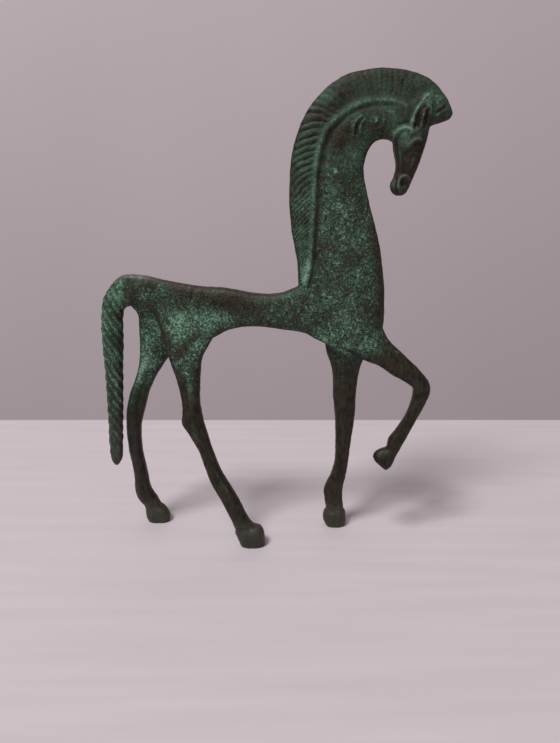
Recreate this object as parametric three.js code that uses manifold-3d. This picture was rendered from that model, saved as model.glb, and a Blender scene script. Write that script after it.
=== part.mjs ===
// Bronze horse: a free-standing figurine in the archaic Greek manner, cast in six pieces and brazed
// together.
//
// The pieces are a flat body with its neck, crest and head, a tail, and four legs. The tail and each leg
// meet the body at a joint plane, with a thin film of brazing metal between the two faces.
//
// Millimetres, +Z up. The horse faces +X. The origin is under the middle of the horse, on the surface that
// it stands on. -Y is the side of the hind leg that steps forward, called the near side.

import * as THREE from "three";
import { LoftGeometry } from "three/addons/geometries/LoftGeometry.js";
import { mergeVertices } from "three/addons/utils/BufferGeometryUtils.js";
import Module from "manifold-3d";

// Driving dimensions.
const SECTION_SIDES = 20; // points round each cross-section
const ROWS_PER_STATION = 2; // cross-sections from one station to the next
const SQUARENESS = 2.6; // 2 is an ellipse, more is a flatter plate with rounder edges
const FIT_GAP = 0.3; // clearance that each face keeps from the brazing metal
const BRAZE_THICKNESS = 0.5; // film of brazing metal in a joint
const JOINT_DEPTH = 60; // how far a joint's cutting block reaches past the joint plane

const BRONZE = { color: 0x35493f, roughness: 0.72, metalness: 0.55 };
const BRAZE = { color: 0x8a6a3c, roughness: 0.5, metalness: 0.9 };

// Stations of each form, in order along it: [rear x, rear z, front x, front z, middle y, half thickness].
// "Rear" and "front" are the form's two outline edges in side view at that station. The far face is +Y.
const BARREL = [
  [-71, 140.2, -71, 156.6, 0, 4.2],
  [-64, 138, -64, 155.8, 0, 4.6],
  [-46, 126, -50, 152.6, 0, 4.8],
  [-31, 121.5, -35, 150.2, 0, 5.2],
  [-20.5, 126.6, -21, 149.2, 0, 5.4],
  [-5, 128.6, -4, 146.2, 0, 5.4],
  [9, 126.8, 8, 146.6, 0, 5.6],
  [22, 124.6, 17, 150, 0, 5.8],
  [34, 118, 36, 156, 0, 5.8],
];
const NECK = [
  [31, 119.5, 58, 113, 0, 5],
  [21, 126, 63, 127.5, 0, 6],
  [16, 142, 63.2, 141, 0, 6.2],
  [21, 152, 62.5, 151, 0, 6],
  [24, 172, 59.2, 171, 0, 5.4],
  [25, 196, 51.7, 196, 0, 4.9],
  [27, 213, 49.1, 210, 0, 4.8],
  [32.5, 228.5, 52.2, 219.3, 0, 4.9],
  [43, 237.5, 57, 222.3, 0, 5],
  [59, 239.5, 62.5, 222, 0, 5.4],
  [70, 238, 67, 222, 0, 5.4],
];
const CREST = [
  [17.3, 149.5, 25, 149, 0, 3.6],
  [16.9, 161, 27, 160, 0, 4.2],
  [13.4, 180, 29, 181, 0, 4.4],
  [12.2, 200, 30, 200, 0, 4.4],
  [14.4, 220, 32, 214, 0, 4.4],
  [23, 238.5, 37, 227, 0, 4.4],
  [36.5, 249.7, 46, 232, 0, 4.4],
  [52, 253.6, 56, 233, 0, 4.4],
  [67, 252.9, 66, 232, 0, 4.2],
  [79.5, 248.6, 76, 227.5, 0, 3.8],
  [87.6, 241, 83, 229, 0, 3.2],
  [91.2, 234, 89.8, 231.4, 0, 2.2],
];
const HEAD = [
  [66, 234, 77, 240, 0, 4.4],
  [63.2, 225, 80.2, 231, 0, 5.6],
  [63.8, 217, 79.3, 221.5, 0, 5.8],
  [65.3, 210.5, 77.4, 214.5, 0, 5.2],
  [64.6, 205.5, 75.2, 207.5, 0, 4.5],
  [63, 201, 72.8, 201.5, 0, 4.2],
  [64, 197.6, 71, 197.4, 0, 3.6],
  [66.2, 196, 69.2, 196, 0, 2],
];
const EAR = [
  [72, 222, 78.5, 224, 3.4, 1.6],
  [71.6, 227.5, 79.8, 228.5, 4, 2.2],
  [72.2, 232.5, 80.2, 233, 4.2, 2.2],
  [75.4, 237.4, 80.2, 237.2, 4, 1.8],
  [78.4, 240.8, 79.8, 240.6, 3.4, 0.8],
];
const TAIL = [
  [-58, 144, -58, 152, 0, 3],
  [-71.5, 139.8, -72.5, 156.3, 0, 4.1],
  [-74.6, 139.1, -77.5, 154.8, 0, 4.1],
  [-76.4, 137.2, -82.4, 150, 0, 4],
  [-77.3, 133, -86.7, 143, 0, 4],
  [-78, 124, -89, 127, 0, 3.9],
  [-79.3, 110, -89.2, 110, 0, 3.8],
  [-81, 90, -89.6, 90, 0, 3.7],
  [-82.8, 70, -90.4, 70, 0, 3.5],
  [-84, 56, -91, 56, 0, 3.2],
  [-84.8, 49.5, -90.6, 49, 0, 2.6],
  [-87, 45.6, -89, 45.4, 0, 1.2],
];
const NEAR_HIND = [
  [-62, 150, -38, 148, 0, 3],
  [-60, 137, -31, 136, -0.4, 4.6],
  [-57.6, 129, -27.2, 126.4, -1.4, 5],
  [-55.3, 120.7, -29.8, 120.7, -2.8, 5],
  [-52.9, 112.2, -34.6, 112.2, -4.4, 4.8],
  [-49.1, 100.2, -36.1, 99.7, -5.6, 4.5],
  [-46.7, 88.3, -36.7, 87.8, -6.6, 4.3],
  [-46.6, 80.4, -35.8, 80.9, -7.2, 4.3],
  [-47.1, 75.5, -35, 75.7, -7.5, 4.3],
  [-43.3, 68.5, -33.4, 69.5, -8, 4],
  [-38.6, 59.7, -30.8, 60.7, -8.7, 3.8],
  [-34.7, 47.9, -26.9, 48.9, -9.6, 3.8],
  [-31.2, 38, -22.4, 40, -10.4, 3.9],
  [-25.2, 26.3, -16.4, 29.7, -11.5, 4],
  [-20.1, 14.9, -11.2, 17.8, -12.2, 4.1],
  [-18.8, 10.6, -8.4, 14, -12.5, 4.2],
  [-18.2, 8, -3.6, 11.6, -12.6, 4.6],
  [-17.3, 4.6, -1.7, 7.6, -12.7, 4.7],
  [-15.5, 0, -1.3, 0, -12.7, 4.5],
];
const FAR_HIND = [
  [-66, 151, -50, 149, 0, 3],
  [-73, 141, -46, 141, 1.2, 4.8],
  [-70, 135, -44, 133, 3.8, 5],
  [-70.4, 124, -47.5, 122, 6, 4.8],
  [-71.3, 109, -56, 108.5, 6.6, 4.5],
  [-74.4, 97.5, -63.4, 97.5, 7.2, 4.3],
  [-78.6, 88, -67.9, 88, 7.8, 4.3],
  [-81.2, 79, -70.8, 79, 8.4, 4.3],
  [-83, 66, -74.4, 66, 9.2, 3.9],
  [-82.9, 50, -75.2, 50, 10.2, 3.7],
  [-81.5, 34, -73.5, 34, 11.4, 3.8],
  [-81.9, 24, -72.4, 24, 12.1, 4],
  [-81, 17.2, -69.6, 17.6, 12.5, 4],
  [-78.4, 12.6, -67, 12.6, 12.7, 3.9],
  [-76.6, 9.6, -64.8, 9.6, 12.9, 4.1],
  [-76.5, 6.2, -62.8, 6.6, 13, 4.2],
  [-76.3, 2.6, -61.7, 3, 13, 4.2],
  [-75, 0, -62.5, 0, 13, 4],
];
const STANDING_FORE = [
  [34, 134, 54, 128, 0.6, 3.2],
  [32, 124.5, 56, 113.5, 1.6, 4.4],
  [33, 115, 54.3, 110.2, 2.9, 4.7],
  [36.9, 102.5, 52, 102, 4.4, 4.6],
  [38, 86, 50.8, 86, 5.1, 4.5],
  [39.5, 73, 50.6, 73, 5.6, 4.4],
  [40.4, 56, 49, 56, 6.3, 4],
  [40, 42.5, 48, 42.5, 6.9, 3.9],
  [37.6, 33.5, 47, 34, 7.4, 4],
  [34.3, 25.5, 45.5, 25, 7.7, 4],
  [35, 17.8, 45.9, 17.5, 8, 4],
  [35.7, 12, 46.9, 12, 8.2, 4.1],
  [34.3, 7.2, 48, 7.4, 8.3, 4.3],
  [34.5, 3.6, 48.4, 3.8, 8.3, 4.3],
  [36.4, 0, 47.6, 0, 8.3, 4.1],
];
const RAISED_FORE = [
  [38, 123, 57, 137, 0, 3.4],
  [44.5, 114.8, 62.6, 128, -0.4, 4.9],
  [53, 110.2, 67, 120.6, -1.6, 5],
  [62, 106.8, 73.2, 115, -2.9, 4.7],
  [69.5, 102, 79, 109.5, -3.9, 4.4],
  [76.5, 98, 85.6, 103, -4.2, 4.2],
  [81, 94.5, 89.8, 97, -4.4, 4.2],
  [81.2, 90.5, 90.2, 92, -4.5, 4.2],
  [79.3, 82, 86.7, 82.5, -4.7, 3.9],
  [76.3, 75, 83.4, 75.4, -4.9, 3.8],
  [72.2, 68.2, 79.7, 67.2, -5, 3.9],
  [69.4, 64.4, 77.4, 62, -5, 4],
  [68.7, 61, 75.4, 57.8, -5, 3.9],
  [68.4, 58.8, 74.2, 55, -5, 3.8],
  [64.8, 57.6, 72.6, 50.6, -5, 4.2],
  [61.6, 55, 71, 47, -5, 4.4],
  [60.9, 52.2, 68.6, 44.9, -5, 4],
];

// Joints: a point on the joint plane, the way from the body into the limb, and the width of the cutting
// block. A lapped limb lies flat against the body's far face; the others meet the body end to end.
const JOINTS = {
  tail: { limb: TAIL, at: [-72.5, 0, 148], into: [-1, 0, -0.1], width: 26 },
  near_hind: { limb: NEAR_HIND, at: [-42, 0, 117], into: [0.28, -0.25, -1], width: 42 },
  far_hind: { limb: FAR_HIND, at: [-58, 4.6, 126], into: [0, 1, 0], width: 60, lapped: true },
  standing_fore: { limb: STANDING_FORE, at: [43, 0, 112.6], into: [-0.5, 0.1, -1], width: 38 },
  raised_fore: { limb: RAISED_FORE, at: [61.5, 0, 115], into: [1, 0, -0.72], width: 34 },
};

const wasm = await Module();
wasm.setup();

// A closed geometry as a solid that can be joined and cut.
function solidOf(geometry) {
  const shell = new THREE.BufferGeometry();
  shell.setAttribute("position", geometry.getAttribute("position"));
  shell.setIndex(geometry.index);
  const merged = mergeVertices(shell, 1e-4);
  return new wasm.Manifold(
    new wasm.Mesh({
      numProp: 3,
      vertProperties: merged.getAttribute("position").array,
      triVerts: new Uint32Array(merged.index.array),
    }),
  );
}

// The solid back as a geometry, with flat facets.
function geometryOf(solid) {
  const mesh = solid.getMesh();
  const geometry = new THREE.BufferGeometry();
  geometry.setAttribute("position", new THREE.BufferAttribute(mesh.vertProperties, 3));
  geometry.setIndex(new THREE.BufferAttribute(mesh.triVerts, 1));
  geometry.computeVertexNormals();
  return geometry;
}

// One cross-section: a rounded plate between two outline points, with its thickness along Y.
function crossSection(rear, front, y, halfThickness, winding) {
  const middle = rear.clone().add(front).multiplyScalar(0.5);
  const half = front.clone().sub(rear).multiplyScalar(0.5);
  const rounded = (value) => Math.sign(value) * Math.abs(value) ** (2 / SQUARENESS);
  return Array.from({ length: SECTION_SIDES }, (_, i) => {
    const angle = (winding * 2 * Math.PI * i) / SECTION_SIDES;
    const point = middle.clone().addScaledVector(half, rounded(Math.cos(angle)));
    point.y = y + halfThickness * rounded(Math.sin(angle));
    return point;
  });
}

// A cast form lofted smoothly through its stations; side -1 mirrors it to the near side.
function castForm(stations, side = 1) {
  const through = (points) => new THREE.CatmullRomCurve3(points, false, "centripetal");
  const rear = through(stations.map(([x, z]) => new THREE.Vector3(x, 0, z)));
  const front = through(stations.map(([, , x, z]) => new THREE.Vector3(x, 0, z)));
  const plate = through(stations.map(([, , , , y, half], i) => new THREE.Vector3(side * y, half, i)));
  // The rings wind so that the skin faces outwards, whichever way the stations go.
  const across = front.points[0].clone().sub(rear.points[0]);
  const travel = rear.points[1].clone().add(front.points[1]).sub(rear.points[0]).sub(front.points[0]);
  const winding = Math.sign(across.cross(new THREE.Vector3(0, 1, 0)).dot(travel));
  const rows = (stations.length - 1) * ROWS_PER_STATION;
  const sections = Array.from({ length: rows + 1 }, (_, i) => {
    const { x: y, y: halfThickness } = plate.getPoint(i / rows);
    return crossSection(rear.getPoint(i / rows), front.getPoint(i / rows), y, halfThickness, winding);
  });
  return solidOf(new LoftGeometry(sections, { capStart: true, capEnd: true }));
}

// A block square to a joint plane, from `start` past the plane to `end` past it, on the limb's side.
function jointBlock({ at, into, width }, start, end) {
  const direction = new THREE.Vector3(...into).normalize();
  const block = new THREE.BoxGeometry(width, width, end - start);
  const upright = new THREE.Vector3(0, 0, 1);
  block.applyQuaternion(new THREE.Quaternion().setFromUnitVectors(upright, direction));
  const middle = new THREE.Vector3(...at).addScaledVector(direction, (start + end) / 2);
  block.translate(...middle);
  return solidOf(block);
}

// The body before its joint faces are cut: barrel, neck, crest, head, both ears and the limbs' stubs.
function bodyForm() {
  const forms = [BARREL, NECK, CREST, HEAD, EAR].map((stations) => castForm(stations));
  forms.push(castForm(EAR, -1));
  for (const joint of Object.values(JOINTS)) {
    if (!joint.lapped) forms.push(castForm(joint.limb).intersect(jointBlock(joint, -JOINT_DEPTH, 0)));
  }
  return forms.reduce((whole, form) => whole.add(form));
}

const body = bodyForm();
const halfJoint = BRAZE_THICKNESS / 2 + FIT_GAP;

function bodyCasting() {
  const cuts = Object.values(JOINTS).map((joint) => jointBlock(joint, -halfJoint, JOINT_DEPTH));
  return cuts.reduce((whole, cut) => whole.subtract(cut), body);
}

function limbCasting(joint) {
  return castForm(joint.limb).subtract(jointBlock(joint, -JOINT_DEPTH, halfJoint));
}

// The film of brazing metal: the limb's own section at the joint. In a lap, the body has to back it too.
function brazeFilm(joint) {
  const film = castForm(joint.limb).intersect(
    jointBlock(joint, -BRAZE_THICKNESS / 2, BRAZE_THICKNESS / 2),
  );
  return joint.lapped ? film.intersect(body) : film;
}

const horse = new THREE.Group();

function addPiece(name, solid, finish) {
  const mesh = new THREE.Mesh(geometryOf(solid), new THREE.MeshStandardMaterial(finish));
  mesh.name = name;
  horse.add(mesh);
}

addPiece("body_casting", bodyCasting(), BRONZE);
addPiece("tail_casting", limbCasting(JOINTS.tail), BRONZE);
addPiece("near_hind_leg", limbCasting(JOINTS.near_hind), BRONZE);
addPiece("far_hind_leg", limbCasting(JOINTS.far_hind), BRONZE);
addPiece("standing_foreleg", limbCasting(JOINTS.standing_fore), BRONZE);
addPiece("raised_foreleg", limbCasting(JOINTS.raised_fore), BRONZE);
addPiece("tail_braze", brazeFilm(JOINTS.tail), BRAZE);
addPiece("near_hind_braze", brazeFilm(JOINTS.near_hind), BRAZE);
addPiece("far_hind_braze", brazeFilm(JOINTS.far_hind), BRAZE);
addPiece("standing_foreleg_braze", brazeFilm(JOINTS.standing_fore), BRAZE);
addPiece("raised_foreleg_braze", brazeFilm(JOINTS.raised_fore), BRAZE);

export default horse;
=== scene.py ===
# %% [markdown]
# # A flat-cast bronze horse, step by step
#
# The horse is a souvenir bronze in the archaic Greek manner: flat like a cut-out, cast in sand in a few
# pieces, brazed together, and coloured with a chemical patina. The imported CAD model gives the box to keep
# to and the nodes to stand for. This script lofts the CAD's own stations finer, sculpts what the CAD
# leaves out, and colours and lights the castings.

# %% Load the frame
import math

import bmesh
import bpy
import numpy as np
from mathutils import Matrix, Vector, noise


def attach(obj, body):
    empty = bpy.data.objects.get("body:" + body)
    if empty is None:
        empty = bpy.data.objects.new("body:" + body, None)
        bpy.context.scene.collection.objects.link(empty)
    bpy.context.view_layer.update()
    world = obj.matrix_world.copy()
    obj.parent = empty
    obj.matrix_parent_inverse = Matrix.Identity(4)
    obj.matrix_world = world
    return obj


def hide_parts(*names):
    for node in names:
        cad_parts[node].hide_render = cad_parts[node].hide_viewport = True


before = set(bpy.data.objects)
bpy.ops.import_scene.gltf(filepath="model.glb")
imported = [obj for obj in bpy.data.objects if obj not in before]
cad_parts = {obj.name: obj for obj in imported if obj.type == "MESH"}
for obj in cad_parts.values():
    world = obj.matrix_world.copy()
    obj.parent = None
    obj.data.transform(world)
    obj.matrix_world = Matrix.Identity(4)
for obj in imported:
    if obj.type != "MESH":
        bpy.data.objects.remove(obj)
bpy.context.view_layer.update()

MM = 0.001  # the stations below are in millimetres, and Blender works in metres

# %% [markdown]
# ## The outline of each casting
#
# A flat-cast figure is drawn first as a side view, and gets its thickness afterwards. So each form is a
# list of stations along it: the two outline edges at that station, the middle of its thickness and half
# of that thickness. Fewer stations give a calmer outline, so a straight stretch has two and a hoof or a
# muzzle has more.

# %% Stations: rear x, rear z, front x, front z, middle y, half thickness, in mm
BARREL = [
    (-71, 140.2, -71, 156.6, 0, 4.2),
    (-64, 138, -64, 155.8, 0, 4.6),
    (-46, 126, -50, 152.6, 0, 4.8),
    (-31, 121.5, -35, 150.2, 0, 5.2),
    (-20.5, 126.6, -21, 149.2, 0, 5.4),
    (-5, 128.6, -4, 146.2, 0, 5.4),
    (9, 126.8, 8, 146.6, 0, 5.6),
    (22, 124.6, 17, 150, 0, 5.8),
    (34, 118, 36, 156, 0, 5.8),
]
NECK = [
    (31, 119.5, 58, 113, 0, 5),
    (21, 126, 63, 127.5, 0, 6),
    (16, 142, 63.2, 141, 0, 6.2),
    (21, 152, 62.5, 151, 0, 6),
    (24, 172, 59.2, 171, 0, 5.4),
    (25, 196, 51.7, 196, 0, 4.9),
    (27, 213, 49.1, 210, 0, 4.8),
    (32.5, 228.5, 52.2, 219.3, 0, 4.9),
    (43, 237.5, 57, 222.3, 0, 5),
    (59, 239.5, 62.5, 222, 0, 5.4),
    (70, 238, 67, 222, 0, 5.4),
]
CREST = [
    (17.3, 149.5, 25, 149, 0, 3.6),
    (16.9, 161, 27, 160, 0, 4.2),
    (13.4, 180, 29, 181, 0, 4.4),
    (12.2, 200, 30, 200, 0, 4.4),
    (14.4, 220, 32, 214, 0, 4.4),
    (23, 238.5, 37, 227, 0, 4.4),
    (36.5, 249.7, 46, 232, 0, 4.4),
    (52, 253.6, 56, 233, 0, 4.4),
    (67, 252.9, 66, 232, 0, 4.2),
    (79.5, 248.6, 76, 227.5, 0, 3.8),
    (87.6, 241, 83, 229, 0, 3.2),
    (91.2, 234, 89.8, 231.4, 0, 2.2),
]
HEAD = [
    (66, 234, 77, 240, 0, 4.4),
    (63.2, 225, 80.2, 231, 0, 5.6),
    (63.8, 217, 79.3, 221.5, 0, 5.8),
    (65.3, 210.5, 77.4, 214.5, 0, 5.2),
    (64.6, 205.5, 75.2, 207.5, 0, 4.5),
    (63, 201, 72.8, 201.5, 0, 4.2),
    (64, 197.6, 71, 197.4, 0, 3.6),
    (66.2, 196, 69.2, 196, 0, 2),
]
EAR = [
    (72, 222, 78.5, 224, 3.4, 1.6),
    (71.6, 227.5, 79.8, 228.5, 4, 2.2),
    (72.2, 232.5, 80.2, 233, 4.2, 2.2),
    (75.4, 237.4, 80.2, 237.2, 4, 1.8),
    (78.4, 240.8, 79.8, 240.6, 3.4, 0.8),
]
TAIL = [
    (-58, 144, -58, 152, 0, 3),
    (-71.5, 139.8, -72.5, 156.3, 0, 4.1),
    (-74.6, 139.1, -77.5, 154.8, 0, 4.1),
    (-76.4, 137.2, -82.4, 150, 0, 4),
    (-77.3, 133, -86.7, 143, 0, 4),
    (-78, 124, -89, 127, 0, 3.9),
    (-79.3, 110, -89.2, 110, 0, 3.8),
    (-81, 90, -89.6, 90, 0, 3.7),
    (-82.8, 70, -90.4, 70, 0, 3.5),
    (-84, 56, -91, 56, 0, 3.2),
    (-84.8, 49.5, -90.6, 49, 0, 2.6),
    (-87, 45.6, -89, 45.4, 0, 1.2),
]
NEAR_HIND = [
    (-62, 150, -38, 148, 0, 3),
    (-60, 137, -31, 136, -0.4, 4.6),
    (-57.6, 129, -27.2, 126.4, -1.4, 5),
    (-55.3, 120.7, -29.8, 120.7, -2.8, 5),
    (-52.9, 112.2, -34.6, 112.2, -4.4, 4.8),
    (-49.1, 100.2, -36.1, 99.7, -5.6, 4.5),
    (-46.7, 88.3, -36.7, 87.8, -6.6, 4.3),
    (-46.6, 80.4, -35.8, 80.9, -7.2, 4.3),
    (-47.1, 75.5, -35, 75.7, -7.5, 4.3),
    (-43.3, 68.5, -33.4, 69.5, -8, 4),
    (-38.6, 59.7, -30.8, 60.7, -8.7, 3.8),
    (-34.7, 47.9, -26.9, 48.9, -9.6, 3.8),
    (-31.2, 38, -22.4, 40, -10.4, 3.9),
    (-25.2, 26.3, -16.4, 29.7, -11.5, 4),
    (-20.1, 14.9, -11.2, 17.8, -12.2, 4.1),
    (-18.8, 10.6, -8.4, 14, -12.5, 4.2),
    (-18.2, 8, -3.6, 11.6, -12.6, 4.6),
    (-17.3, 4.6, -1.7, 7.6, -12.7, 4.7),
    (-15.5, 0, -1.3, 0, -12.7, 4.5),
]
FAR_HIND = [
    (-66, 151, -50, 149, 0, 3),
    (-73, 141, -46, 141, 1.2, 4.8),
    (-70, 135, -44, 133, 3.8, 5),
    (-70.4, 124, -47.5, 122, 6, 4.8),
    (-71.3, 109, -56, 108.5, 6.6, 4.5),
    (-74.4, 97.5, -63.4, 97.5, 7.2, 4.3),
    (-78.6, 88, -67.9, 88, 7.8, 4.3),
    (-81.2, 79, -70.8, 79, 8.4, 4.3),
    (-83, 66, -74.4, 66, 9.2, 3.9),
    (-82.9, 50, -75.2, 50, 10.2, 3.7),
    (-81.5, 34, -73.5, 34, 11.4, 3.8),
    (-81.9, 24, -72.4, 24, 12.1, 4),
    (-81, 17.2, -69.6, 17.6, 12.5, 4),
    (-78.4, 12.6, -67, 12.6, 12.7, 3.9),
    (-76.6, 9.6, -64.8, 9.6, 12.9, 4.1),
    (-76.5, 6.2, -62.8, 6.6, 13, 4.2),
    (-76.3, 2.6, -61.7, 3, 13, 4.2),
    (-75, 0, -62.5, 0, 13, 4),
]
STANDING_FORE = [
    (34, 134, 54, 128, 0.6, 3.2),
    (32, 124.5, 56, 113.5, 1.6, 4.4),
    (33, 115, 54.3, 110.2, 2.9, 4.7),
    (36.9, 102.5, 52, 102, 4.4, 4.6),
    (38, 86, 50.8, 86, 5.1, 4.5),
    (39.5, 73, 50.6, 73, 5.6, 4.4),
    (40.4, 56, 49, 56, 6.3, 4),
    (40, 42.5, 48, 42.5, 6.9, 3.9),
    (37.6, 33.5, 47, 34, 7.4, 4),
    (34.3, 25.5, 45.5, 25, 7.7, 4),
    (35, 17.8, 45.9, 17.5, 8, 4),
    (35.7, 12, 46.9, 12, 8.2, 4.1),
    (34.3, 7.2, 48, 7.4, 8.3, 4.3),
    (34.5, 3.6, 48.4, 3.8, 8.3, 4.3),
    (36.4, 0, 47.6, 0, 8.3, 4.1),
]
RAISED_FORE = [
    (38, 123, 57, 137, 0, 3.4),
    (44.5, 114.8, 62.6, 128, -0.4, 4.9),
    (53, 110.2, 67, 120.6, -1.6, 5),
    (62, 106.8, 73.2, 115, -2.9, 4.7),
    (69.5, 102, 79, 109.5, -3.9, 4.4),
    (76.5, 98, 85.6, 103, -4.2, 4.2),
    (81, 94.5, 89.8, 97, -4.4, 4.2),
    (81.2, 90.5, 90.2, 92, -4.5, 4.2),
    (79.3, 82, 86.7, 82.5, -4.7, 3.9),
    (76.3, 75, 83.4, 75.4, -4.9, 3.8),
    (72.2, 68.2, 79.7, 67.2, -5, 3.9),
    (69.4, 64.4, 77.4, 62, -5, 4),
    (68.7, 61, 75.4, 57.8, -5, 3.9),
    (68.4, 58.8, 74.2, 55, -5, 3.8),
    (64.8, 57.6, 72.6, 50.6, -5, 4.2),
    (61.6, 55, 71, 47, -5, 4.4),
    (60.9, 52.2, 68.6, 44.9, -5, 4),
]
print("crest's top", max(row[1] for row in CREST), "mm; tail's end", min(row[3] for row in TAIL), "mm")

# %% [markdown]
# ## From stations to a closed skin
#
# Each station could be drawn by hand as a ring of vertices, but a form needs dozens of rings for a smooth
# skin. So a smooth curve runs through the stations, a circle is made at each step and squashed to a
# rounded plate, and bridge_loops joins each ring to the next. The curve is a centripetal Catmull-Rom: it
# never loops back on itself where stations crowd together, as they do at the hooves.

# %% A smooth curve through stations
ROUNDS = (((0, 1), (1, 2), (2, 3)), ((0, 2), (1, 3)), ((1, 2),))  # the knots that each blend runs between


def through(stations, t):
    """The station values at t, from 0 at the first station to 1 at the last."""
    rows = np.array(stations, float)
    rows = np.vstack([2 * rows[0] - rows[1], rows, 2 * rows[-1] - rows[-2]])
    spot = t * (len(stations) - 1)
    i = min(int(spot), len(stations) - 2)
    points = rows[i : i + 4]
    steps = [max(np.linalg.norm(b - a), 1e-6) ** 0.5 for a, b in zip(points, points[1:])]
    knots = np.concatenate([[0], np.cumsum(steps)])
    at = knots[1] + (spot - i) * (knots[2] - knots[1])
    for spans in ROUNDS:
        shares = [(at - knots[start]) / (knots[end] - knots[start]) for start, end in spans]
        points = [(1 - f) * a + f * b for f, a, b in zip(shares, points, points[1:])]
    return points[0]


print("station half-way up the neck:", through(NECK, 0.5).round(1))

# %% A ring squashed to a rounded plate, and the rings bridged
ROWS_PER_STATION = 4
RING_SIDES = 36
SQUARENESS = 2.6  # 2 is an ellipse, more is a flatter plate with rounder edges


def ring_at(bm, station):
    """A closed ring of vertices with a rounded plate's section."""
    rear_x, rear_z, front_x, front_z, y, half = station
    ring = bmesh.ops.create_circle(bm, cap_ends=False, radius=1, segments=RING_SIDES)["verts"]
    for vert in ring:
        across, out = (math.copysign(abs(c) ** (2 / SQUARENESS), c) for c in vert.co.xy)
        share = (1 + across) / 2
        vert.co = MM * Vector((
            rear_x + share * (front_x - rear_x),
            y + out * half,
            rear_z + share * (front_z - rear_z),
        ))
    return list({edge for vert in ring for edge in vert.link_edges})


def add_form(bm, stations):
    """Bridges rings through the stations and closes both ends."""
    rows = (len(stations) - 1) * ROWS_PER_STATION
    rings = [ring_at(bm, through(stations, i / rows)) for i in range(rows + 1)]
    for ring, following in zip(rings, rings[1:]):
        bmesh.ops.bridge_loops(bm, edges=ring + following)
    for ring in (rings[0], rings[-1]):
        bmesh.ops.contextual_create(bm, geom=ring)


def object_from(bm, name):
    """The bmesh as a new object at the origin."""
    bmesh.ops.recalc_face_normals(bm, faces=bm.faces)
    mesh = bpy.data.meshes.new(name)
    bm.to_mesh(mesh)
    bm.free()
    made = bpy.data.objects.new(name, mesh)
    bpy.context.scene.collection.objects.link(made)
    return made


# %% [markdown]
# ## One skin from many forms
#
# The moulder's pattern was one soft lump, with no step where a leg leaves the body. The forms overlap, so
# the voxel Remesh modifier wraps them in one skin, and rounds of smoothing melt the corners between them,
# as a wax pattern is rubbed down. Rubbing thins the form a little, so the skin is pushed out again by
# that much. Booleans would join the forms too, but they leave hard corners. The grid is 0.55 mm, half as
# wide as the finest hair line.

# %% Wrap and soften
GRID = 0.55 * MM
RUB_ROUNDS = 12
RUBBED_OFF = 0.12  # mm


def bake_modifiers(made):
    """Turns the modifiers' result into the object's own mesh."""
    seen = made.evaluated_get(bpy.context.evaluated_depsgraph_get())
    mesh = bpy.data.meshes.new_from_object(seen)
    made.modifiers.clear()
    old, made.data = made.data, mesh
    bpy.data.meshes.remove(old)


def array_of(vectors, key):
    """A mesh's vertex places or normals as rows of x, y, z."""
    flat = np.empty(3 * len(vectors))
    vectors.foreach_get(key, flat)
    return flat.reshape(-1, 3)


def move_out(made, lift):
    """Moves each vertex along its normal by its lift in mm, or all by the same lift."""
    mesh = made.data
    spots = array_of(mesh.vertices, "co")
    spots += array_of(mesh.vertex_normals, "vector") * np.asarray(lift)[..., None] * MM
    mesh.vertices.foreach_set("co", spots.ravel())
    mesh.update()


def wrapped(forms, name):
    """All the forms as one softened skin."""
    bm = bmesh.new()
    for stations in forms:
        add_form(bm, stations)
    made = object_from(bm, name)
    remesh = made.modifiers.new("wrap", "REMESH")
    remesh.mode = "VOXEL"
    remesh.voxel_size = GRID
    rub = made.modifiers.new("rub", "SMOOTH")
    rub.factor = 0.5
    rub.iterations = RUB_ROUNDS
    bake_modifiers(made)
    move_out(made, RUBBED_OFF)
    print(name, len(made.data.polygons), "faces")
    return made


FAR_EAR = EAR
NEAR_EAR = [(*outline, -y, half) for *outline, y, half in EAR]
horse = wrapped(
    [BARREL, NECK, CREST, HEAD, NEAR_EAR, FAR_EAR, TAIL, NEAR_HIND, STANDING_FORE, RAISED_FORE], "horse"
)
far_leg = wrapped([FAR_HIND], "far_leg")

# %% [markdown]
# ## Chasing: the lines and hollows
#
# The founder cuts the mane, the tail's strands and the face into the pattern with a few tools, the same
# on both faces. Each mark is a smooth line through a few points of the side view, with a width and a
# height: above zero it is a ridge, below zero a groove. All the heights add up to one lift per vertex,
# and one push along the normals shapes them all, so no mark undoes another. A bump in the material alone
# would leave the outline and the shadows smooth.

# %% Distance from a drawn line
LINE_STEPS = 6  # straight pieces between two points of a line


def smooth_line(path):
    """A curve through the points as short straight pieces."""
    count = (len(path) - 1) * LINE_STEPS
    return np.array([through(path, i / count) for i in range(count + 1)])


def measure_line(path, spots):
    """Each spot's distance from the line, run along it and side of it, left above 0; and its length."""
    line = smooth_line(path)
    start, step = line[:-1], np.diff(line, axis=0)
    length = np.linalg.norm(step, axis=1)
    gap = spots[:, None, ::2] - start
    share = np.clip((gap * step).sum(2) / length**2, 0, 1)
    off = gap - share[..., None] * step
    distance = np.linalg.norm(off, axis=2)
    rows, near = np.arange(len(spots)), distance.argmin(1)
    run = np.concatenate([[0], np.cumsum(length)])[near] + share[rows, near] * length[near]
    side = np.sign(step[near, 0] * off[rows, near, 1] - step[near, 1] * off[rows, near, 0])
    return distance[rows, near], run, side, length.sum()


def ramp(values, low, high):
    """0 below low, 1 above high, and a smooth change between."""
    t = np.clip((values - low) / (high - low), 0, 1)
    return t * t * (3 - 2 * t)


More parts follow.
